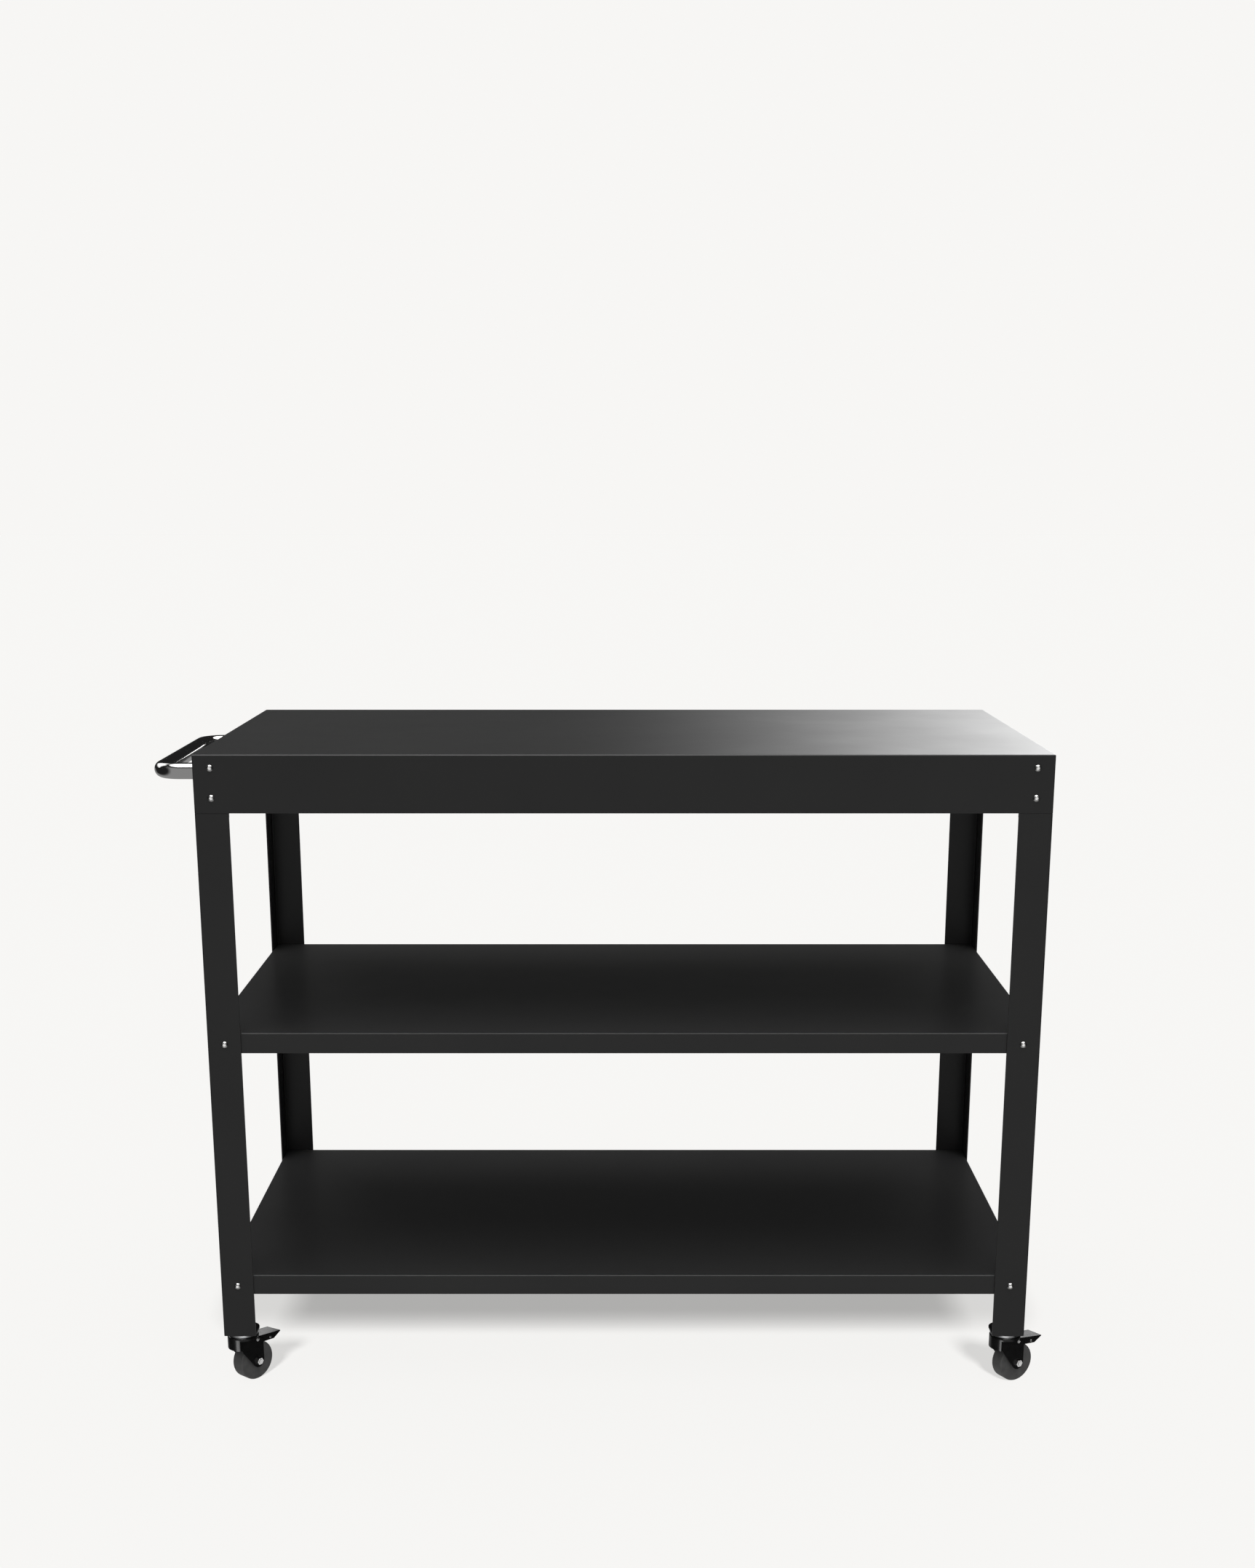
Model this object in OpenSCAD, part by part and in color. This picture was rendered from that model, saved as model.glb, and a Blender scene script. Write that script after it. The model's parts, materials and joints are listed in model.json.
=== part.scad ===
// Three-tier steel cart on four braked swivel casters, with a tube handle on one end.
// Folded sheet-steel worktop and shelves are bolted to four angle legs.
// +Z is up, X is the long axis, the handle is at -X and the front is at -Y.
// The origin is on the floor, under the middle of the whole cart's bounding box.

/* [Frame] */
// Length over the leg and apron faces
frame_l = 1200; // [900:10:1500]
// Depth over the leg and apron faces
frame_d = 600; // [450:10:750]
// Height of the worktop above the floor
worktop_z = 952.5; // [850:0.5:1000]
// Height of the middle shelf's surface above the floor
middle_z = 552; // [450:1:650]
// Height of the bottom shelf's surface above the floor
bottom_z = 179; // [160:1:250]

/* [Sheet metal] */
// Depth of the worktop's down-turned apron
apron_h = 82; // [60:1:110]
// Sheet thickness of the worktop
top_t = 1.5; // [1:0.1:2]
// Depth of the shelves' down-turned flanges
flange_h = 30; // [25:1:40]
// Sheet thickness of the shelves
shelf_t = 1.2; // [1:0.1:1.5]
// Outside radius of the folds
fold_r = 2.5; // [2.2:0.1:3]

/* [Legs] */
// Width of each flange of the angle legs
leg_w = 48; // [44:1:55]
// Sheet thickness of the legs
leg_t = 2; // [1.6:0.1:2.5]
// Thickness of the plate that closes the foot of each leg
foot_t = 3; // [2:0.5:5]

/* [Handle] */
// Outside diameter of the tube
tube_d = 24; // [18:1:25]
// Wall of the tube
tube_wall = 1.5; // [1:0.1:2]
// How far the handle stands out from the end face
handle_reach = 88; // [75:1:100]
// Distance between the centrelines of the two arms
handle_span = 344; // [250:2:450]
// Centreline radius of the bends
bend_r = 31; // [24:1:36]
// Depth of the tube's centreline under the worktop
handle_drop = 39.5; // [30:0.5:45]

/* [Fasteners] */
// Distance from a leg's outer edge to its bolts
bolt_inset = 24.5; // [22:0.5:27]
// Depths of the two apron bolts under the worktop
apron_bolts_down = [19, 61]; // [15:1:70]
// Depth of the shelf bolts under their shelf's surface
shelf_bolt_down = 17; // [14:1:18]

/* [Casters] */
// Radius of the wheel
wheel_r = 30; // [28:0.5:30]
// Width of the wheel's tread
wheel_w = 20.6; // [18:0.1:20.6]
// Distance from the swivel axis back to the axle
trail = 16; // [14:1:18]
// Depth of the axle under the leg's foot
axle_drop = 52; // [52:0.5:54]
// Direction in which each caster trails: front left, front right, rear left, rear right
yaws = [50, 30, -35, -150]; // [-180:1:180]

/* [Hidden] */
$fn = 64;
slip = 0.02;                    // gap round a fixed piece in its hole
loose = 0.2;                    // gap round a screw or stem in a clearance hole
over = 1;                       // how far a cut runs past the face that it opens

CORNERS = ["front_left", "front_right", "rear_left", "rear_right"];
side_x = [-1, 1, -1, 1];
side_y = [-1, -1, 1, 1];

foot_z = axle_drop + wheel_r;
apron_z = worktop_z - apron_h;
joggle_h = 6;                   // height over which a leg steps in behind the apron
seam = 0.5;                     // open seam between the apron and the leg below it
leg_top_z = worktop_z - top_t - 1;

// M6 bolts with button heads, and their flanged nuts
bolt_r = 3;
bolt_l = 12;
bolt_hole_r = 3.3;
head_r = 5.25;
head_h = 3.3;
socket_r = 2.31;
socket_deep = 2;
nut_h = 6;
nut_r = 5.77;
nut_flange_r = 6.5;
nut_flange_h = 1.2;
apron_levels = [for (down = apron_bolts_down) worktop_z - down];
middle_level = middle_z - shelf_bolt_down;
bottom_level = bottom_z - shelf_bolt_down;

// Handle
tube_r = tube_d / 2;
tube_bore_r = tube_r - tube_wall;
arm_l = handle_reach - tube_r - bend_r;
handle_z = worktop_z - handle_drop;
plug_l = 18;
washer_r = 9;
washer_t = 1.6;

// Caster, measured from the point where its swivel axis meets the leg's foot
stem_r = 5;
foot_round = 18;                // round corner of the foot plate, inside the leg's angle
stem_up = 17;                   // threaded length above the foot's underside
stem_nut_r = 9.24;
stem_nut_h = 8;
race_r = 22.5;
race_t = 1.8;
race_lip = 4.6;                 // depth of the race's down-turned rim
ball_r = 1.6;
ball_ring_r = 14;
ball_count = 14;
ball_gap = 0.3;
fork_t = 2;
fork_top = race_t + ball_gap + 2 * ball_r + slip;
hood_r = 23.5;
hood_rim = 10;                  // depth to which the round hood comes down all round
nose_drop = 25.8;               // depth to which it comes down in front of the wheel
hood_round = 3;                 // radius of the hood's top edge
ear_in = 12.5;                  // half the gap between the fork's ears
ear_out = ear_in + fork_t;
ear_front = -18;
ear_knee = -15.9;               // where the ears' front edge turns down towards the axle
ear_shoulder = [7, 5.1];        // length and height of the slope at the ears' back corner
ear_back_drop = 18.5;           // depth of that corner
ear_tip_r = 10.2;
ear_tuck = 0.05;                // how far inside the ears' round tip their straight front edge ends
rivet_r = 8.5;
rivet_h = 2.7;
axle_r = 3;
axle_nut_r = 5.77;
axle_nut_h = 4;
axle_head_h = 3.5;
axle_end = 0.8;                 // length of the axle beyond its nut
sleeve_r = 5;
running = 0.06;                 // radial clearance of the parts that turn
hub_r = 8.5;
hub_half = 11.9;
tread_round = 1.5;

// Brake pedal, measured from its pin, before it is tilted down towards the wheel's far side
pin_r = 2;
pin_head_r = 3.1;
pin_head_h = 1.4;
pin_drop = 17.2;
pedal_tilt = 5.5;
pedal_l = 45.5;
pedal_top = 4.5;
pedal_t = 1.3;
pedal_half = 12.2;
pedal_back = 5;                 // length of the pedal behind its pin
tip_skew = 5;                   // how much shorter the pedal is on its left
shoe_at = 9.5;
shoe_t = 1.5;
shoe_half = 7;
shoe_drop = 2.6;
shoe_rivet = [26.7, -2.6];
shoe_rivet_r = 1.6;
shoe_rivet_h = 0.7;             // height of its heads on the side flanges

// The handle and the front right caster's pedal are the cart's two ends
pedal_tip = trail + pedal_l * cos(pedal_tilt) + pedal_top * sin(pedal_tilt);
pedal_end_x = frame_l / 2 - leg_w / 2 + pedal_tip * cos(yaws[1]) + pedal_half * sin(yaws[1]);
cart_x = (frame_l / 2 + handle_reach - pedal_end_x) / 2;

black = [0.17, 0.17, 0.17];
gloss_black = [0.04, 0.04, 0.04];
rubber = [0.2, 0.2, 0.2];
steel = [0.78, 0.78, 0.8];
zinc = [0.6, 0.61, 0.62];

// ---- Outlines ----

// Rectangle with four round corners, centred
module round_rect(l, d, r) {
    square([l - 2 * r, d], center = true);
    square([l, d - 2 * r], center = true);
    for (x = [-1, 1], y = [-1, 1])
        translate([x * (l / 2 - r), y * (d / 2 - r)]) circle(r);
}

// Rectangle with its two top corners round, centred over the origin
module arch_rect(l, h, r) {
    translate([-l / 2, 0]) square([l, h - r]);
    translate([-l / 2 + r, 0]) square([l - 2 * r, h]);
    for (x = [-1, 1]) translate([x * (l / 2 - r), h - r]) circle(r);
}

// Square from the origin with only the corner at the origin round
module corner_square(w, r) {
    translate([r, 0]) square([w - r, w]);
    translate([0, r]) square([w, w - r]);
    translate([r, r]) circle(r);
}

// ---- Places ----

// Puts a piece in the row's frame, from the middle of the frame on the floor
module on_cart() { translate([cart_x, 0, 0]) children(); }

// Outer corner of leg i, with x and y pointing inwards
module at_corner(i) {
    on_cart() translate([side_x[i] * frame_l / 2, side_y[i] * frame_d / 2, 0])
        mirror([side_x[i] > 0 ? 1 : 0, 0, 0])
        mirror([0, side_y[i] > 0 ? 1 : 0, 0]) children();
}

// Two bolt places at each level of leg i, one through each flange, with z pointing outwards
module at_bolts(i, levels) {
    x = side_x[i];
    y = side_y[i];
    for (z = levels) {
        on_cart() translate([x * (frame_l / 2 - bolt_inset), y * frame_d / 2, z])
            rotate([-90 * y, 0, 0]) children();
        on_cart() translate([x * frame_l / 2, y * (frame_d / 2 - bolt_inset), z])
            rotate([0, 90 * x, 0]) children();
    }
}

// The two handle fixings, on the outside of the end face, with z pointing outwards
module at_handle_ends() {
    for (y = [-1, 1])
        on_cart() translate([-frame_l / 2, y * handle_span / 2, handle_z])
            rotate([0, -90, 0]) children();
}

// Swivel axis of caster i at the leg's foot, with x pointing the way it trails
module at_caster(i) {
    on_cart() translate([side_x[i] * (frame_l - leg_w) / 2, side_y[i] * (frame_d - leg_w) / 2, foot_z])
        rotate(yaws[i]) children();
}

// Axis through a caster at x, z, with z pointing to its left
module across(x, z) { translate([x, 0, z]) rotate([-90, 0, 0]) children(); }

module bolt_hole() { translate([0, 0, -2 * bolt_l]) cylinder(r = bolt_hole_r, h = 2 * bolt_l + over); }

// Round head of radius r and height h, standing on the origin
module dome(r, h) {
    ball = (r * r + h * h) / (2 * h);
    intersection() {
        cylinder(r = r, h = h);
        translate([0, 0, h - ball]) sphere(ball);
    }
}

// ---- Sheet-metal pieces ----

// Solid block with round top edges and round upright corners, standing on the origin
module folded_block(l, d, h, r) {
    intersection() {
        linear_extrude(h) round_rect(l, d, r);
        translate([0, d / 2, 0]) rotate([90, 0, 0]) linear_extrude(d) arch_rect(l, h, r);
        translate([-l / 2, 0, 0]) rotate([90, 0, 90]) linear_extrude(l) arch_rect(d, h, r);
    }
}

// Sheet folded down on all four sides, open underneath
module tray(l, d, h, t) {
    difference() {
        folded_block(l, d, h, fold_r);
        translate([0, 0, -over]) folded_block(l - 2 * t, d - 2 * t, h - t + over, fold_r - t);
    }
}

module top_tray() {
    color(black) difference() {
        on_cart() translate([0, 0, apron_z]) tray(frame_l, frame_d, apron_h, top_t);
        for (i = [0:3]) at_bolts(i, apron_levels) bolt_hole();
        at_handle_ends() bolt_hole();
    }
}

module shelf(z, level) {
    difference() {
        on_cart() translate([0, 0, z - flange_h])
            tray(frame_l - 2 * leg_t, frame_d - 2 * leg_t, flange_h, shelf_t);
        for (i = [0:3]) at_bolts(i, [level]) bolt_hole();
    }
}

module middle_shelf() { color(black) shelf(middle_z, middle_level); }

module bottom_shelf() { color(black) shelf(bottom_z, bottom_level); }

module angle_profile(start) {
    difference() {
        translate([start, start]) corner_square(leg_w - start, fold_r);
        translate([start + leg_t, start + leg_t]) corner_square(leg_w, fold_r - 1);
    }
}

// Angle leg: its top steps in by the apron's thickness, so that the faces are flush
module leg(i) {
    color(black) difference() {
        at_corner(i) {
            translate([0, 0, foot_z]) linear_extrude(apron_z - seam - foot_z) angle_profile(0);
            translate([0, 0, apron_z - joggle_h])
                linear_extrude(leg_top_z - apron_z + joggle_h) angle_profile(top_t);
        }
        at_bolts(i, concat(apron_levels, [middle_level, bottom_level])) bolt_hole();
    }
}

// Plate welded into the foot of a leg, with its inner corner rounded off
module foot_plate(i) {
    w = leg_w - leg_t;
    r = foot_round;
    bend = fold_r - 1;
    color(black) at_corner(i) translate([leg_t, leg_t, foot_z]) linear_extrude(foot_t) difference() {
        union() {
            translate([bend, 0]) square([w - bend, w - r]);
            translate([0, bend]) square([w - r, w - bend]);
            translate([bend, bend]) circle(bend);
            translate([w - r, w - r]) circle(r);
        }
        translate([leg_w / 2 - leg_t, leg_w / 2 - leg_t]) circle(stem_r + loose);
    }
}

// ---- Handle ----

// Solid bar that follows the handle's line, from end face to end face, as thick as twice r
module handle_bar(r) {
    grip_x = arm_l + bend_r;
    grip_l = handle_span - 2 * bend_r;
    for (y = [-1, 1]) {
        translate([0, y * handle_span / 2, 0]) rotate([0, 90, 0]) cylinder(r = r, h = arm_l);
        translate([arm_l, y * grip_l / 2, 0]) rotate(y > 0 ? 0 : -90)
            rotate_extrude(angle = 90) translate([bend_r, 0]) circle(r);
    }
    translate([grip_x, grip_l / 2, 0]) rotate([90, 0, 0]) cylinder(r = r, h = grip_l);
}

module handle_tube() {
    color(steel) on_cart() translate([-frame_l / 2, 0, handle_z]) rotate(180) difference() {
        handle_bar(tube_r);
        handle_bar(tube_bore_r);
    }
}

module handle_plugs() {
    color(zinc) at_handle_ends() difference() {
        cylinder(r = tube_bore_r - slip, h = plug_l);
        translate([0, 0, -over]) cylinder(r = bolt_r + slip, h = bolt_l + 2 * over);
    }
}

module handle_screws() {
    color(steel) at_handle_ends() translate([0, 0, -top_t - washer_t]) rotate([180, 0, 0]) button_bolt();
}

module handle_washers() {
    color(zinc) at_handle_ends() translate([0, 0, -top_t - washer_t]) difference() {
        cylinder(r = washer_r, h = washer_t);
        translate([0, 0, -over]) cylinder(r = bolt_r + loose, h = washer_t + 2 * over);
    }
}

// ---- Fasteners ----

// Button-head socket bolt: the head stands on z = 0 and the shank goes down
module button_bolt() {
    difference() {
        union() {
            dome(head_r, head_h);
            translate([0, 0, -bolt_l]) cylinder(r = bolt_r, h = bolt_l);
        }
        translate([0, 0, head_h - socket_deep]) cylinder(r = socket_r, h = socket_deep + over, $fn = 6);
    }
}

// Flanged hexagon nut, hanging down from z = 0
module flange_nut() {
    difference() {
        union() {
            translate([0, 0, -nut_flange_h]) cylinder(r = nut_flange_r, h = nut_flange_h);
            translate([0, 0, -nut_h]) cylinder(r = nut_r, h = nut_h, $fn = 6);
        }
        translate([0, 0, -nut_h - over]) cylinder(r = bolt_r + slip, h = nut_h + 2 * over);
    }
}

module apron_bolts() { color(steel) for (i = [0:3]) at_bolts(i, apron_levels) button_bolt(); }

module shelf_bolts() {
    color(steel) for (i = [0:3]) at_bolts(i, [middle_level, bottom_level]) button_bolt();
}

module frame_nuts() {
    color(zinc) for (i = [0:3]) {
        at_bolts(i, apron_levels) translate([0, 0, -top_t - leg_t]) flange_nut();
        at_bolts(i, [middle_level, bottom_level]) translate([0, 0, -leg_t - shelf_t]) flange_nut();
    }
}

module caster_nuts() {
    color(zinc) for (i = [0:3]) at_caster(i) translate([0, 0, foot_t]) difference() {
        cylinder(r = stem_nut_r, h = stem_nut_h, $fn = 6);
        translate([0, 0, -over]) cylinder(r = stem_r + slip, h = stem_nut_h + 2 * over);
    }
}

// ---- Caster ----

// Threaded stem, which is also the kingpin, with its rivet head inside the fork
module caster_stem() {
    head_z = -fork_top - fork_t - ball_gap - rivet_h;
    color(zinc) {
        translate([0, 0, head_z + over]) cylinder(r = stem_r, h = stem_up - head_z - over);
        translate([0, 0, head_z]) cylinder(r = rivet_r, h = rivet_h);
    }
}

// Fixed upper race: a plate with a down-turned rim over the balls
module swivel_race() {
    color(zinc) rotate_extrude() polygon([
        [stem_r + slip, 0], [race_r - 1, 0], [race_r, -1], [race_r, -race_lip],
        [race_r - race_t, -race_lip], [race_r - race_t, -race_t], [stem_r + slip, -race_t]
    ]);
}

module swivel_balls() {
    color(steel) for (k = [0:ball_count - 1])
        rotate(k * 360 / ball_count)
            translate([ball_ring_r, 0, -race_t - ball_gap - ball_r]) sphere(ball_r, $fn = 32);
}

// Round cap of radius r from z = -bottom up to z = -top, with its top edge rounded
module round_cap(r, top, bottom, edge) {
    translate([0, 0, -bottom]) rotate_extrude() {
        square([r - edge, bottom - top]);
        square([r, bottom - top - edge]);
        translate([r - edge, bottom - top - edge]) intersection() {
            circle(edge);
            square(edge);
        }
    }
}

// Hood over the swivel, which comes down further as a nose between the ears in front of the wheel
module hood() {
    below = nose_drop - hood_rim + over;
    difference() {
        round_cap(hood_r, fork_top, nose_drop, hood_round);
        round_cap(hood_r - fork_t, fork_top + fork_t, nose_drop + over, hood_round - fork_t);
        translate([ear_front + fork_t, -2 * hood_r, -nose_drop - over]) cube([4 * hood_r, 4 * hood_r, below]);
        for (y = [ear_out, -ear_out - hood_r])
            translate([-2 * hood_r, y, -nose_drop - over]) cube([4 * hood_r, hood_r, below]);
    }
}

// Outline of a fork ear, x back along the trail and y up
module ear_outline() {
    reach = ear_tip_r - ear_tuck;
    slant = atan2(-axle_drop + nose_drop, trail - ear_knee)
        - asin(reach / norm([trail - ear_knee, axle_drop - nose_drop]));
    tangent = [trail + reach * cos(slant - 90), -axle_drop + reach * sin(slant - 90)];
    ear_back = trail + ear_tip_r;
    polygon([
        [ear_front, -fork_top - fork_t / 2], [ear_front, -nose_drop], [ear_knee, -nose_drop],
        tangent, [trail, -axle_drop], [ear_back, -axle_drop], [ear_back, -ear_back_drop],
        [ear_back - ear_shoulder[0], -ear_back_drop + ear_shoulder[1]], [ear_back / 2, -fork_top - fork_t / 2]
    ]);
    translate([trail, -axle_drop]) circle(ear_tip_r);
}

// Stamped fork: round hood over the balls, a nose in front of the wheel and two flat ears
module fork() {
    color(gloss_black) difference() {
        union() {
            hood();
            for (y = [-ear_out, ear_in])
                translate([0, y + fork_t, 0]) rotate([90, 0, 0]) linear_extrude(fork_t) ear_outline();
        }
        translate([0, 0, -nose_drop]) cylinder(r = stem_r + running, h = nose_drop);
        across(trail, -axle_drop) cylinder(r = axle_r + slip, h = 4 * ear_out, center = true);
        across(trail, -pin_drop) cylinder(r = pin_r + slip, h = 4 * ear_out, center = true);
    }
}

// Hexagon bolt through the ears, with its head on the caster's left
module axle_bolt() {
    color(steel) across(trail, -axle_drop) {
        translate([0, 0, -ear_out - axle_nut_h - axle_end])
            cylinder(r = axle_r, h = 2 * ear_out + axle_nut_h + axle_end + over);
        translate([0, 0, ear_out]) cylinder(r = axle_nut_r, h = axle_head_h, $fn = 6);
    }
}

module axle_nut() {
    color(steel) across(trail, -axle_drop) translate([0, 0, -ear_out - axle_nut_h]) difference() {
        cylinder(r = axle_nut_r, h = axle_nut_h, $fn = 6);
        translate([0, 0, -over]) cylinder(r = axle_r + slip, h = axle_nut_h + 2 * over);
    }
}

module axle_sleeve() {
    color(zinc) across(trail, -axle_drop) difference() {
        cylinder(r = sleeve_r, h = 2 * ear_in, center = true);
        cylinder(r = axle_r + slip, h = 2 * ear_in + 2 * over, center = true);
    }
}

module wheel() {
    color(rubber) across(trail, -axle_drop) difference() {
        union() {
            rotate_extrude() {
                translate([0, -wheel_w / 2]) square([wheel_r - tread_round, wheel_w]);
                translate([0, tread_round - wheel_w / 2]) square([wheel_r, wheel_w - 2 * tread_round]);
                for (y = [-1, 1])
                    translate([wheel_r - tread_round, y * (wheel_w / 2 - tread_round)]) circle(tread_round);
            }
            cylinder(r = hub_r, h = 2 * hub_half, center = true);
        }
        cylinder(r = sleeve_r + running, h = 2 * hub_half + 2 * over, center = true);
    }
}

// Outline of the pedal's side flange, from its pin
module pedal_side() {
    polygon([
        [-pedal_back, pedal_top], [-pedal_back, -2], [-2, -5.5], [12, -6.8], [33.4, -6],
        [pedal_l, pedal_top - pedal_t], [pedal_l, pedal_top]
    ]);
}

// Stamped pedal: a flat top, two side flanges, a brake shoe and the rivet that holds the shoe
module brake_pedal() {
    color(gloss_black) translate([trail, 0, -pin_drop]) rotate([0, pedal_tilt, 0]) difference() {
        union() {
            translate([-pedal_back, -pedal_half, pedal_top - pedal_t])
                cube([pedal_l + pedal_back, 2 * pedal_half, pedal_t]);
            for (y = [-pedal_half, pedal_half - pedal_t])
                translate([0, y + pedal_t, 0]) rotate([90, 0, 0]) linear_extrude(pedal_t) pedal_side();
            translate([shoe_at, -shoe_half, -shoe_drop])
                cube([shoe_t, 2 * shoe_half, pedal_top - pedal_t + shoe_drop + slip]);
            across(shoe_rivet[0], shoe_rivet[1])
                cylinder(r = shoe_rivet_r, h = 2 * (pedal_half + shoe_rivet_h), center = true);
        }
        across(0, 0) cylinder(r = pin_r + running, h = 4 * pedal_half, center = true);
        translate([pedal_l, -pedal_half, -pedal_l]) rotate(atan2(tip_skew, 2 * pedal_half))
            translate([0, -pedal_l, 0]) cube([pedal_l, 3 * pedal_l, 2 * pedal_l]);
    }
}

module pedal_pin() {
    color(steel) across(trail, -pin_drop) {
        cylinder(r = pin_r, h = 2 * ear_out, center = true);
        for (turn = [0, 180]) rotate([turn, 0, 0]) translate([0, 0, ear_out]) dome(pin_head_r, pin_head_h);
    }
}

top_tray();
middle_shelf();
bottom_shelf();
handle_tube();
handle_plugs();
handle_screws();
handle_washers();
apron_bolts();
shelf_bolts();
frame_nuts();
caster_nuts();
for (i = [0:3]) {
    leg(i);
    foot_plate(i);
    at_caster(i) caster_stem();
    at_caster(i) swivel_race();
    at_caster(i) swivel_balls();
    at_caster(i) fork();
    at_caster(i) axle_bolt();
    at_caster(i) axle_nut();
    at_caster(i) axle_sleeve();
    at_caster(i) wheel();
    at_caster(i) brake_pedal();
    at_caster(i) pedal_pin();
}
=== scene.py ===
"""Looks of the steel shelf cart: materials, soft edges, rivet heads, floor, studio light and camera."""
import json
import math
import bpy
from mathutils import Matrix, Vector


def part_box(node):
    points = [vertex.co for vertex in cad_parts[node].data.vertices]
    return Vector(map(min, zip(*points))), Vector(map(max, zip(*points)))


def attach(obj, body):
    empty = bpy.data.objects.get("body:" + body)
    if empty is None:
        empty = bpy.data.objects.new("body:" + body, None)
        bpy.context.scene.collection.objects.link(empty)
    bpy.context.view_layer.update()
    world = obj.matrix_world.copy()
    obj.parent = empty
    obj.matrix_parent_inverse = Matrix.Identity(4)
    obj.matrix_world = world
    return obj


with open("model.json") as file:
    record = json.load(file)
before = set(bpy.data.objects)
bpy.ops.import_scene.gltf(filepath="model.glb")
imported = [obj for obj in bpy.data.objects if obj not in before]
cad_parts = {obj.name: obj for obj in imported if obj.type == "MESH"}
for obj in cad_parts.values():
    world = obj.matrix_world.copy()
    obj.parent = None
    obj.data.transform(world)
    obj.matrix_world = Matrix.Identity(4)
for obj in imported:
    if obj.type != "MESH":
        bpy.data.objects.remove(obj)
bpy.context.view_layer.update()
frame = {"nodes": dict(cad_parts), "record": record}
nodes = frame["nodes"]
scene = bpy.context.scene
CORNERS = ("front_left", "front_right", "rear_left", "rear_right")

top_low, top_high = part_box("top_tray")
cart_x = (top_low.x + top_high.x) / 2
worktop_z = top_high.z


# ---- Node helpers ----

def new_material(name):
    """A material with only its output and a Principled shader: (material, tree, shader)."""
    material = bpy.data.materials.new(name)
    material.use_nodes = True
    tree = material.node_tree
    tree.nodes.clear()
    output = tree.nodes.new("ShaderNodeOutputMaterial")
    shader = tree.nodes.new("ShaderNodeBsdfPrincipled")
    tree.links.new(shader.outputs["BSDF"], output.inputs["Surface"])
    return material, tree, shader


def coordinates(tree):
    """The piece's own coordinates, in metres."""
    return tree.nodes.new("ShaderNodeTexCoord").outputs["Object"]


def noise(tree, vector, scale, detail):
    node = tree.nodes.new("ShaderNodeTexNoise")
    node.inputs["Scale"].default_value = scale
    node.inputs["Detail"].default_value = detail
    tree.links.new(vector, node.inputs["Vector"])
    return node.outputs["Fac"]


NOISE_RANGE = (0.3, 0.7)        # where nearly all of a noise's values lie


def spread(tree, value, low, high):
    """Maps a noise value to low .. high."""
    node = tree.nodes.new("ShaderNodeMapRange")
    node.inputs["From Min"].default_value, node.inputs["From Max"].default_value = NOISE_RANGE
    node.inputs["To Min"].default_value = low
    node.inputs["To Max"].default_value = high
    tree.links.new(value, node.inputs["Value"])
    return node.outputs["Result"]


def blend_colours(tree, value, low, high):
    """Maps a noise value to a colour between low and high."""
    ramp = tree.nodes.new("ShaderNodeValToRGB")
    for element, position, colour in zip(ramp.color_ramp.elements, NOISE_RANGE, (low, high)):
        element.position = position
        element.color = (*colour, 1)
    tree.links.new(value, ramp.inputs["Fac"])
    return ramp.outputs["Color"]


def bump(tree, shader, heights, distance, strength=1.0):
    """Bumps the shader with each height in turn; distance is in metres."""
    normal = None
    for height in heights:
        node = tree.nodes.new("ShaderNodeBump")
        node.inputs["Distance"].default_value = distance
        node.inputs["Strength"].default_value = strength
        tree.links.new(height, node.inputs["Height"])
        if normal is not None:
            tree.links.new(normal, node.inputs["Normal"])
        normal = node.outputs["Normal"]
    tree.links.new(normal, shader.inputs["Normal"])


def math_node(tree, operation, a, b=None):
    """Result of a Math node, whose values are numbers or sockets."""
    node = tree.nodes.new("ShaderNodeMath")
    node.operation = operation
    for socket, value in zip(node.inputs, (a, b)):
        if isinstance(value, (int, float)):
            socket.default_value = value
        elif value is not None:
            tree.links.new(value, socket)
    return node.outputs[0]


def step(tree, value, start, end):
    """Goes smoothly from 0 at start to 1 at end, where end may be the lower one."""
    node = tree.nodes.new("ShaderNodeMapRange")
    node.interpolation_type = "SMOOTHSTEP"
    node.inputs["From Min"].default_value = min(start, end)
    node.inputs["From Max"].default_value = max(start, end)
    if end < start:
        node.inputs["To Min"].default_value = 1.0
        node.inputs["To Max"].default_value = 0.0
    tree.links.new(value, node.inputs["Value"])
    return node.outputs["Result"]


# ---- Materials ----

def powder_coat():
    """Satin black powder coat: fine orange peel, and faint clouds in its colour and gloss."""
    material, tree, shader = new_material("powder_coat")
    place = coordinates(tree)
    peel = noise(tree, place, scale=900, detail=1.5)
    grain = noise(tree, place, scale=3200, detail=1.0)
    clouds = noise(tree, place, scale=6, detail=3.0)
    colour = blend_colours(tree, clouds, (0.0138, 0.0138, 0.0140), (0.0158, 0.0158, 0.0157))
    tree.links.new(colour, shader.inputs["Base Color"])
    tree.links.new(spread(tree, clouds, low=0.31, high=0.35), shader.inputs["Roughness"])
    bump(tree, shader, (peel, grain), distance=0.00002, strength=0.35)
    return material


def stainless():
    """Polished stainless tube with a very fine polishing grain and faint clouds in its gloss."""
    material, tree, shader = new_material("stainless")
    place = coordinates(tree)
    grain = noise(tree, place, scale=2400, detail=2.0)
    clouds = noise(tree, place, scale=25, detail=2.0)
    shader.inputs["Base Color"].default_value = (0.78, 0.775, 0.765, 1)
    shader.inputs["Metallic"].default_value = 1.0
    tree.links.new(spread(tree, clouds, low=0.07, high=0.13), shader.inputs["Roughness"])
    bump(tree, shader, (grain,), distance=0.000004)
    return material


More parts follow.
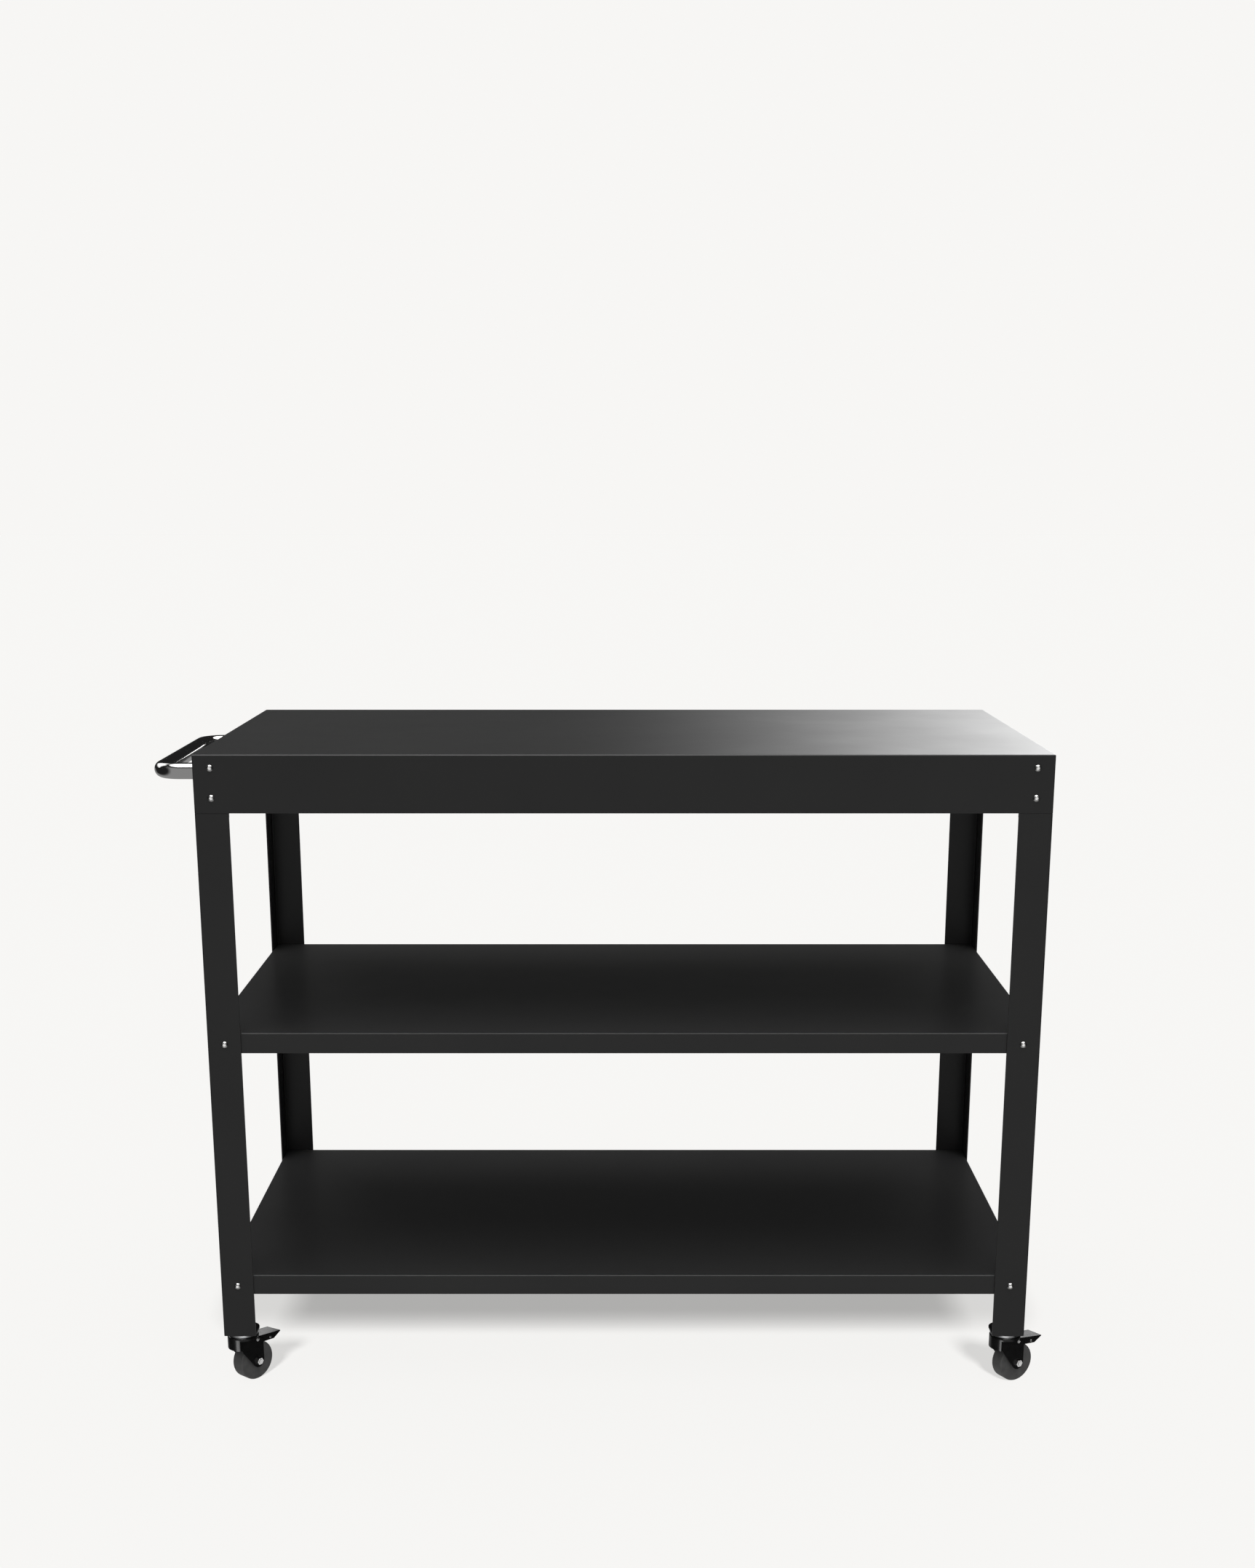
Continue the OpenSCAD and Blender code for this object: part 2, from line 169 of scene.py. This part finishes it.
def bright_steel():
    """Nickel-plated fasteners."""
    material, tree, shader = new_material("bright_steel")
    clouds = noise(tree, coordinates(tree), scale=300, detail=2.0)
    colour = blend_colours(tree, clouds, (0.74, 0.735, 0.725), (0.82, 0.815, 0.805))
    tree.links.new(colour, shader.inputs["Base Color"])
    shader.inputs["Metallic"].default_value = 1.0
    tree.links.new(spread(tree, clouds, low=0.18, high=0.28), shader.inputs["Roughness"])
    return material


def zinc_plate():
    """Dull zinc plating with its faint mottle."""
    material, tree, shader = new_material("zinc_plate")
    place = coordinates(tree)
    mottle = noise(tree, place, scale=240, detail=4.0)
    colour = blend_colours(tree, mottle, (0.42, 0.43, 0.45), (0.6, 0.6, 0.6))
    tree.links.new(colour, shader.inputs["Base Color"])
    shader.inputs["Metallic"].default_value = 1.0
    tree.links.new(spread(tree, mottle, low=0.25, high=0.4), shader.inputs["Roughness"])
    bump(tree, shader, (noise(tree, place, scale=1500, detail=1.0),), distance=0.00001)
    return material


def gloss_black():
    """Thick gloss black stoving enamel on the stamped caster parts."""
    material, tree, shader = new_material("gloss_black")
    place = coordinates(tree)
    clouds = noise(tree, place, scale=90, detail=2.0)
    colour = blend_colours(tree, clouds, (0.004, 0.004, 0.004), (0.006, 0.006, 0.006))
    tree.links.new(colour, shader.inputs["Base Color"])
    tree.links.new(spread(tree, clouds, low=0.2, high=0.26), shader.inputs["Roughness"])
    shader.inputs["Coat Weight"].default_value = 0.25
    shader.inputs["Coat Roughness"].default_value = 0.12
    bump(tree, shader, (noise(tree, place, scale=350, detail=1.0),), distance=0.00003)
    return material


def wheel_rubber():
    """Hard dark-grey rubber, a little dusty, with a moulded grain."""
    material, tree, shader = new_material("wheel_rubber")
    place = coordinates(tree)
    dust = noise(tree, place, scale=120, detail=4.0)
    colour = blend_colours(tree, dust, (0.058, 0.058, 0.058), (0.076, 0.076, 0.075))
    tree.links.new(colour, shader.inputs["Base Color"])
    tree.links.new(spread(tree, dust, low=0.4, high=0.52), shader.inputs["Roughness"])
    bump(tree, shader, (noise(tree, place, scale=1400, detail=2.0),), distance=0.00003)
    return material


def pale_floor():
    """Pale studio floor, which glows evenly and takes the rest of its light from its own lamps."""
    material, _, shader = new_material("pale_floor")
    shader.inputs["Base Color"].default_value = (0.030, 0.0298, 0.0293, 1)
    shader.inputs["Roughness"].default_value = 1.0
    shader.inputs["Specular IOR Level"].default_value = 0.0
    shader.inputs["Emission Color"].default_value = (1.0, 0.992, 0.976, 1)
    shader.inputs["Emission Strength"].default_value = 0.425
    return material


MATERIALS = {
    "powder_coat": powder_coat(),
    "stainless": stainless(),
    "bright_steel": bright_steel(),
    "zinc_plate": zinc_plate(),
    "gloss_black": gloss_black(),
    "wheel_rubber": wheel_rubber(),
}


# ---- Soft edges ----

# How far each material's sharp edges are softened, in metres, and in how many steps
EDGES = {
    "powder_coat": (0.0004, 2),
    "stainless": (0.0004, 2),
    "bright_steel": (0.00025, 2),
    "zinc_plate": (0.0003, 2),
    "gloss_black": (0.0007, 3),
    "wheel_rubber": (0.0004, 2),
}
WELD_DISTANCE = 0.000005        # vertices nearer than this become one
FLAT_ANGLE = 0.5                # degrees within which neighbouring triangles become one face
SHARP_ANGLE = 35                # degrees from which an edge is softened
FACE_WEIGHT = 50                # how much large faces count for the normals, of 100


def finish_node(node, slot):
    """Gives a CAD node its material, soft edges and smooth shading."""
    node.data.materials.clear()
    node.data.materials.append(MATERIALS[slot])
    node.data.shade_smooth()
    weld = node.modifiers.new("weld", "WELD")
    weld.merge_threshold = WELD_DISTANCE
    # Whole faces first, because the bevel leaves dark lines where a flat side ends in slivers
    whole_faces = node.modifiers.new("whole_faces", "DECIMATE")
    whole_faces.decimate_type = "DISSOLVE"
    whole_faces.angle_limit = math.radians(FLAT_ANGLE)
    bevel = node.modifiers.new("soft_edges", "BEVEL")
    bevel.width, bevel.segments = EDGES[slot]
    bevel.limit_method = "ANGLE"
    bevel.angle_limit = math.radians(SHARP_ANGLE)
    bevel.use_clamp_overlap = True
    bevel.harden_normals = True
    bevel.miter_outer = "MITER_ARC"
    flatten = node.modifiers.new("flat_faces", "WEIGHTED_NORMAL")
    flatten.mode = "FACE_AREA"
    flatten.weight = FACE_WEIGHT
    flatten.keep_sharp = True


for subpart in frame["record"]["subparts"]:
    finish_node(nodes[subpart["node"]], subpart["material_slot"])


# ---- Rivet heads ----

RIVET_RADIUS = 0.0021
RIVET_HEIGHT = 0.0011
RIVET_BACK = 0.0267             # from the pedal's pin, along the pedal
RIVET_DOWN = 0.0026             # from the pedal's pin, at right angles to the pedal
RIVET_EDGE = 50                 # degrees from which its rim is sharp
PEDAL_TILT = 5.5                # degrees by which the pedal's far end hangs
PEDAL_HALF = 0.0122             # half the pedal's width


def dome_mesh(name, radius, height, rings=6, around=32):
    """Round rivet head that stands on z = 0, closed underneath."""
    ball = (radius ** 2 + height ** 2) / (2 * height)
    opening = math.asin(radius / ball)
    points = [(0, 0, height)]
    for ring in range(1, rings + 1):
        tilt = opening * ring / rings
        for k in range(around):
            turn = 2 * math.pi * k / around
            points.append((ball * math.sin(tilt) * math.cos(turn), ball * math.sin(tilt) * math.sin(turn),
                           height - ball + ball * math.cos(tilt)))
    faces = [(0, 1 + k, 1 + (k + 1) % around) for k in range(around)]
    for ring in range(rings - 1):
        near = 1 + ring * around
        far = near + around
        for k in range(around):
            after = (k + 1) % around
            faces.append((near + k, far + k, far + after, near + after))
    last = 1 + (rings - 1) * around
    faces.append(tuple(last + k for k in reversed(range(around))))
    mesh = bpy.data.meshes.new(name)
    mesh.from_pydata(points, [], faces)
    mesh.materials.append(MATERIALS["bright_steel"])
    mesh.shade_smooth()
    mesh.set_sharp_from_angle(angle=math.radians(RIVET_EDGE))
    return mesh


def middle_of(node):
    low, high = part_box(node)
    return (low + high) / 2


def add_rivet_heads(corner):
    """The bright ends of the rivet that holds the brake shoe, on the pedal's two side flanges."""
    pin = middle_of(corner + "_pedal_pin")
    stem = middle_of(corner + "_caster_stem")
    back = Vector((pin.x - stem.x, pin.y - stem.y, 0)).normalized()
    left = Vector((-back.y, back.x, 0))
    tilt = math.radians(PEDAL_TILT)
    centre = (pin + back * (RIVET_BACK * math.cos(tilt) - RIVET_DOWN * math.sin(tilt))
              - Vector((0, 0, RIVET_BACK * math.sin(tilt) + RIVET_DOWN * math.cos(tilt))))
    for side, outwards in (("left", left), ("right", -left)):
        name = f"{corner}_shoe_rivet_{side}"
        head = bpy.data.objects.new(name, dome_mesh(name, RIVET_RADIUS, RIVET_HEIGHT))
        scene.collection.objects.link(head)
        head.rotation_euler = outwards.to_track_quat("Z", "Y").to_euler()
        head.location = centre + outwards * PEDAL_HALF
        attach(head, corner + "_pedal_body")


for corner in CORNERS:
    add_rivet_heads(corner)


# ---- Floor ----

FLOOR_HALF = 60


def add_floor():
    mesh = bpy.data.meshes.new("floor")
    corners = [(x * FLOOR_HALF, y * FLOOR_HALF, 0) for x, y in ((-1, -1), (1, -1), (1, 1), (-1, 1))]
    mesh.from_pydata(corners, [], [(0, 1, 2, 3)])
    floor = bpy.data.objects.new("floor", mesh)
    scene.collection.objects.link(floor)
    mesh.materials.append(pale_floor())
    floor.visible_glossy = False
    return floor


floor = add_floor()


# ---- Lamps, each of which lights only some pieces ----

FLOOR_LAMP_ELEVATION = 31.5     # degrees above the floor
FLOOR_LAMP_ASIDE = 12           # degrees to either side of straight in front
FLOOR_LAMP_WIDTH = 11.2         # its disc in degrees, which sets how soft the shadow's edge is
FLOOR_LAMP_STRENGTH = 46.8

FORK_LAMP_FROM = (-33, -23)     # azimuth and elevation in degrees
FORK_LAMP_WIDTH = 22
FORK_LAMP_STRENGTH = 0.36

WORKTOP_LAMP_BACK = 3.2         # behind the cart's middle
WORKTOP_LAMP_SIDES = (-2.45, 2.35)  # its ends, from the cart's middle
WORKTOP_LAMP_HEIGHT = 2.0
WORKTOP_LAMP_EVEN = 0.058       # its radiance as far as WORKTOP_LAMP_RISE
WORKTOP_LAMP_RISE = -0.25       # from the cart's middle, where it starts to grow brighter
WORKTOP_LAMP_RADIANCE = 8.86    # what it has more at its bright end
WORKTOP_LAMP_POWER = 2.25       # how it grows from there

SHELF_LAMP_SIZE = 4.0
SHELF_LAMP_RISE = 2.2           # above the worktop


def caster_nodes(*names):
    return [nodes[corner + "_" + name] for corner in CORNERS for name in names]


def group_of(name, things):
    group = bpy.data.collections.new(name)
    for thing in things:
        group.objects.link(thing)
    return group


def add_lamp(name, kind, place, target, lit, shading=None):
    """A lamp that points at target and lights only the objects in lit; only those in shading shade it."""
    data = bpy.data.lights.new(name, kind)
    lamp = bpy.data.objects.new(name, data)
    scene.collection.objects.link(lamp)
    lamp.location = place
    lamp.rotation_euler = (Vector(target) - Vector(place)).to_track_quat("-Z", "Y").to_euler()
    lamp.visible_camera = False
    lamp.light_linking.receiver_collection = group_of(name + "_lit", lit)
    if shading is not None:
        lamp.light_linking.blocker_collection = group_of(name + "_shading", shading)
    return data


def add_sun(name, azimuth, elevation, width, strength, lit, shading):
    """A soft sun, with its azimuth in degrees to the right of straight in front."""
    turn, height = math.radians(azimuth), math.radians(elevation)
    place = (math.sin(turn) * math.cos(height), -math.cos(turn) * math.cos(height), math.sin(height))
    lamp = add_lamp(name, "SUN", place, (0, 0, 0), lit, shading)
    lamp.angle = math.radians(width)
    lamp.energy = strength


def add_panel(name, place, target, size, radiance, lit, shading=None):
    lamp = add_lamp(name, "AREA", place, target, lit, shading)
    lamp.shape = "RECTANGLE"
    lamp.size, lamp.size_y = size
    lamp.energy = math.pi * size[0] * size[1] * radiance
    return lamp


def add_floor_lamps():
    """Two suns in front; the low shelf and the casters on its own side keep each of them from the floor."""
    for side, aside in (("left", -FLOOR_LAMP_ASIDE), ("right", FLOOR_LAMP_ASIDE)):
        shading = [nodes["bottom_shelf"]]
        for piece in ("fork", "wheel", "brake_pedal", "swivel_race"):
            shading += [nodes[row + side + "_" + piece] for row in ("front_", "rear_")]
        add_sun("floor_lamp_" + side, aside, FLOOR_LAMP_ELEVATION, FLOOR_LAMP_WIDTH, FLOOR_LAMP_STRENGTH,
                lit=[floor], shading=shading)


def add_fork_lamp():
    """Sun from low at the front left, which each fork's hood mirrors in the same place."""
    forks = caster_nodes("fork")
    add_sun("fork_lamp", *FORK_LAMP_FROM, FORK_LAMP_WIDTH, FORK_LAMP_STRENGTH, lit=forks, shading=forks)


def add_worktop_lamp():
    """Tall panel behind the cart, brighter towards its right, that the worktop mirrors."""
    left, right = WORKTOP_LAMP_SIDES
    width = right - left
    place = (cart_x + (left + right) / 2, WORKTOP_LAMP_BACK, worktop_z + WORKTOP_LAMP_HEIGHT / 2)
    lamp = add_panel("worktop_lamp", place, target=(place[0], 0, place[2]),
                     size=(width, WORKTOP_LAMP_HEIGHT), radiance=1.0,
                     lit=[nodes["top_tray"]], shading=[floor])
    lamp.use_nodes = True
    tree = lamp.node_tree
    tree.nodes.clear()
    output = tree.nodes.new("ShaderNodeOutputLight")
    glow = tree.nodes.new("ShaderNodeEmission")
    place_on_lamp = tree.nodes.new("ShaderNodeNewGeometry")
    split = tree.nodes.new("ShaderNodeSeparateXYZ")
    tree.links.new(place_on_lamp.outputs["Parametric"], split.inputs[0])
    # Parametric X runs from 0 at the lamp's right end to 1 at its left
    growth = tree.nodes.new("ShaderNodeMapRange")
    growth.inputs["From Min"].default_value = (right - WORKTOP_LAMP_RISE) / width
    growth.inputs["From Max"].default_value = 0.0
    tree.links.new(split.outputs["X"], growth.inputs["Value"])
    grown = math_node(tree, "POWER", growth.outputs["Result"], WORKTOP_LAMP_POWER)
    grown = math_node(tree, "MULTIPLY", grown, WORKTOP_LAMP_RADIANCE)
    tree.links.new(math_node(tree, "ADD", grown, WORKTOP_LAMP_EVEN), glow.inputs["Strength"])
    tree.links.new(glow.outputs[0], output.inputs["Surface"])


def add_panels():
    """Panels for the shelves, the pedals' flat tops and the bright fasteners.

    Where nothing should shade a panel, its shading holds one piece that isn't in the way.
    """
    shelves = [nodes["middle_shelf"], nodes["bottom_shelf"]]
    add_panel("shelf_lamp", place=(cart_x, 0, worktop_z + SHELF_LAMP_RISE), target=(cart_x, 0, 0),
              size=(SHELF_LAMP_SIZE, SHELF_LAMP_SIZE), radiance=2.6, lit=shelves)
    scene.objects["shelf_lamp"].visible_glossy = False
    add_panel("shelf_glow", place=(cart_x, 3.0, 1.5), target=(cart_x, 0, 1.5), size=(5.0, 2.6),
              radiance=0.04, lit=shelves, shading=[floor])
    add_panel("pedal_lamp", place=(cart_x + 0.15, 2.5, 0.9), target=(cart_x + 0.15, 0, 0.2), size=(3.0, 0.5),
              radiance=1.6, lit=caster_nodes("brake_pedal"), shading=[floor])
    bolts_and_races = [nodes["apron_bolts"], nodes["shelf_bolts"]] + caster_nodes("swivel_race")
    add_panel("bolt_lamp", place=(cart_x, -4.0, -0.4), target=(cart_x, 0, 0.6), size=(3.0, 2.6),
              radiance=1.0, lit=bolts_and_races, shading=[nodes["top_tray"]])
    axle_ends = caster_nodes("axle_nut", "axle_bolt", "pedal_pin")
    add_panel("axle_lamp", place=(4.0, -0.6, -1.3), target=(0, -0.3, 0.05), size=(2.4, 2.0),
              radiance=0.8, lit=axle_ends, shading=[nodes["top_tray"]])


# ---- Studio light ----

# Dome that lights the cart
DOME_RIM = 0.6                  # its brightness low down
DOME_TOP = 2.8                  # ... and overhead
DOME_TOP_FROM = (40, 55)        # elevation in degrees where the one becomes the other

# What reflections see
CEILING = 4.5                   # brightness overhead
CEILING_FROM = (56, 62)         # elevation in degrees where it begins
PALE = 0.33                     # brightness low in front, and below the horizon
PALE_TOP = (52, 34)             # elevation in degrees below which it is in front
PALE_FRONT = (0.0, 0.15)        # how far a direction has to point to the front for it
PALE_HORIZON = (1, -6)          # elevation in degrees below which it is all round
PALE_SIDES = (0.85, 0.6)        # how far a direction may point to a side for it
DIM = 0.020                     # brightness everywhere else
SOFTBOX = 1.6                   # brightness of a small panel high at the left, a little behind
SOFTBOX_AZIMUTH = -126          # degrees from straight in front
SOFTBOX_ELEVATION = 32
SOFTBOX_HALF = (20, 16)         # half its width and height in degrees
SOFTBOX_BLUR = 4                # half the width of its soft edge in degrees

BACKDROP = (0.93, 0.922, 0.907, 1)  # what the camera sees


def direction_parts(tree):
    """X, Y and Z of the direction that a ray looks in."""
    direction = tree.nodes.new("ShaderNodeTexCoord")
    split = tree.nodes.new("ShaderNodeSeparateXYZ")
    tree.links.new(direction.outputs["Generated"], split.inputs[0])
    return split.outputs


def height_step(tree, z, elevations):
    """Step between two elevations in degrees."""
    start, end = (math.sin(math.radians(elevation)) for elevation in elevations)
    return step(tree, z, start, end)


def overhead(tree):
    """Brightness of the dome: stronger overhead, so that each shelf shades the one below."""
    high = height_step(tree, direction_parts(tree)[2], DOME_TOP_FROM)
    return math_node(tree, "ADD", math_node(tree, "MULTIPLY", high, DOME_TOP - DOME_RIM), DOME_RIM)


def reflected(tree):
    """Brightness that reflections see, by direction."""
    x, y, z = direction_parts(tree)
    front = math_node(tree, "MULTIPLY", y, -1)
    ceiling = height_step(tree, z, CEILING_FROM)
    pale = math_node(tree, "MULTIPLY", step(tree, front, *PALE_FRONT), height_step(tree, z, PALE_TOP))
    pale = math_node(tree, "MAXIMUM", pale, height_step(tree, z, PALE_HORIZON))
    pale = math_node(tree, "MULTIPLY", pale, step(tree, math_node(tree, "ABSOLUTE", x), *PALE_SIDES))
    azimuth = math_node(tree, "ARCTAN2", x, front)
    elevation = math_node(tree, "ARCSINE", z)
    inside = []
    for angle, centre, half in ((azimuth, SOFTBOX_AZIMUTH, SOFTBOX_HALF[0]),
                                (elevation, SOFTBOX_ELEVATION, SOFTBOX_HALF[1])):
        off = math_node(tree, "ABSOLUTE", math_node(tree, "SUBTRACT", angle, math.radians(centre)))
        inside.append(step(tree, off, math.radians(half + SOFTBOX_BLUR), math.radians(half - SOFTBOX_BLUR)))
    softbox = math_node(tree, "MULTIPLY", *inside)
    total = DIM
    for value, strength in ((ceiling, CEILING), (pale, PALE), (softbox, SOFTBOX)):
        total = math_node(tree, "ADD", math_node(tree, "MULTIPLY", value, strength), total)
    return total


def build_world():
    """A white dome; reflections see a studio with a bright ceiling, and the camera a pale backdrop."""
    world = bpy.data.worlds.new("studio")
    scene.world = world
    world.cycles.sampling_method = "NONE"
    world.use_nodes = True
    tree = world.node_tree
    tree.nodes.clear()
    output = tree.nodes.new("ShaderNodeOutputWorld")
    dome = tree.nodes.new("ShaderNodeBackground")
    tree.links.new(overhead(tree), dome.inputs["Strength"])
    studio = tree.nodes.new("ShaderNodeBackground")
    tree.links.new(reflected(tree), studio.inputs["Strength"])
    backdrop = tree.nodes.new("ShaderNodeBackground")
    backdrop.inputs["Color"].default_value = BACKDROP
    path = tree.nodes.new("ShaderNodeLightPath")
    shader = dome.outputs[0]
    for ray, seen in (("Is Glossy Ray", studio), ("Is Camera Ray", backdrop)):
        mix = tree.nodes.new("ShaderNodeMixShader")
        tree.links.new(path.outputs[ray], mix.inputs["Fac"])
        tree.links.new(shader, mix.inputs[1])
        tree.links.new(seen.outputs[0], mix.inputs[2])
        shader = mix.outputs[0]
    tree.links.new(shader, output.inputs["Surface"])


add_floor_lamps()
add_fork_lamp()
add_worktop_lamp()
add_panels()
build_world()
scene.view_settings.view_transform = "Standard"
scene.view_settings.look = "None"


# ---- Camera ----

SENSOR_WIDTH = 36
FOCAL_PER_HEIGHT = 1.2896       # focal length over the picture's height
SHIFT_UP = 0.1665               # how far the picture is shifted up, over its height
CAMERA_SIDE = 0.0052            # right of the cart's middle
CAMERA_BACK = 3.1112            # in front of the cart's middle
CAMERA_RISE = 0.3528            # above the worktop
CAMERA_PITCH = 15.326           # degrees down
CAMERA_REACH = 200              # how far it sees


def add_camera():
    data = bpy.data.cameras.new("camera")
    data.sensor_width = SENSOR_WIDTH
    data.lens = FOCAL_PER_HEIGHT * SENSOR_WIDTH
    data.shift_y = SHIFT_UP
    data.clip_end = CAMERA_REACH
    camera = bpy.data.objects.new("camera", data)
    scene.collection.objects.link(camera)
    camera.location = (cart_x + CAMERA_SIDE, -CAMERA_BACK, worktop_z + CAMERA_RISE)
    camera.rotation_euler = (math.radians(90 - CAMERA_PITCH), 0, 0)
    scene.camera = camera


add_camera()
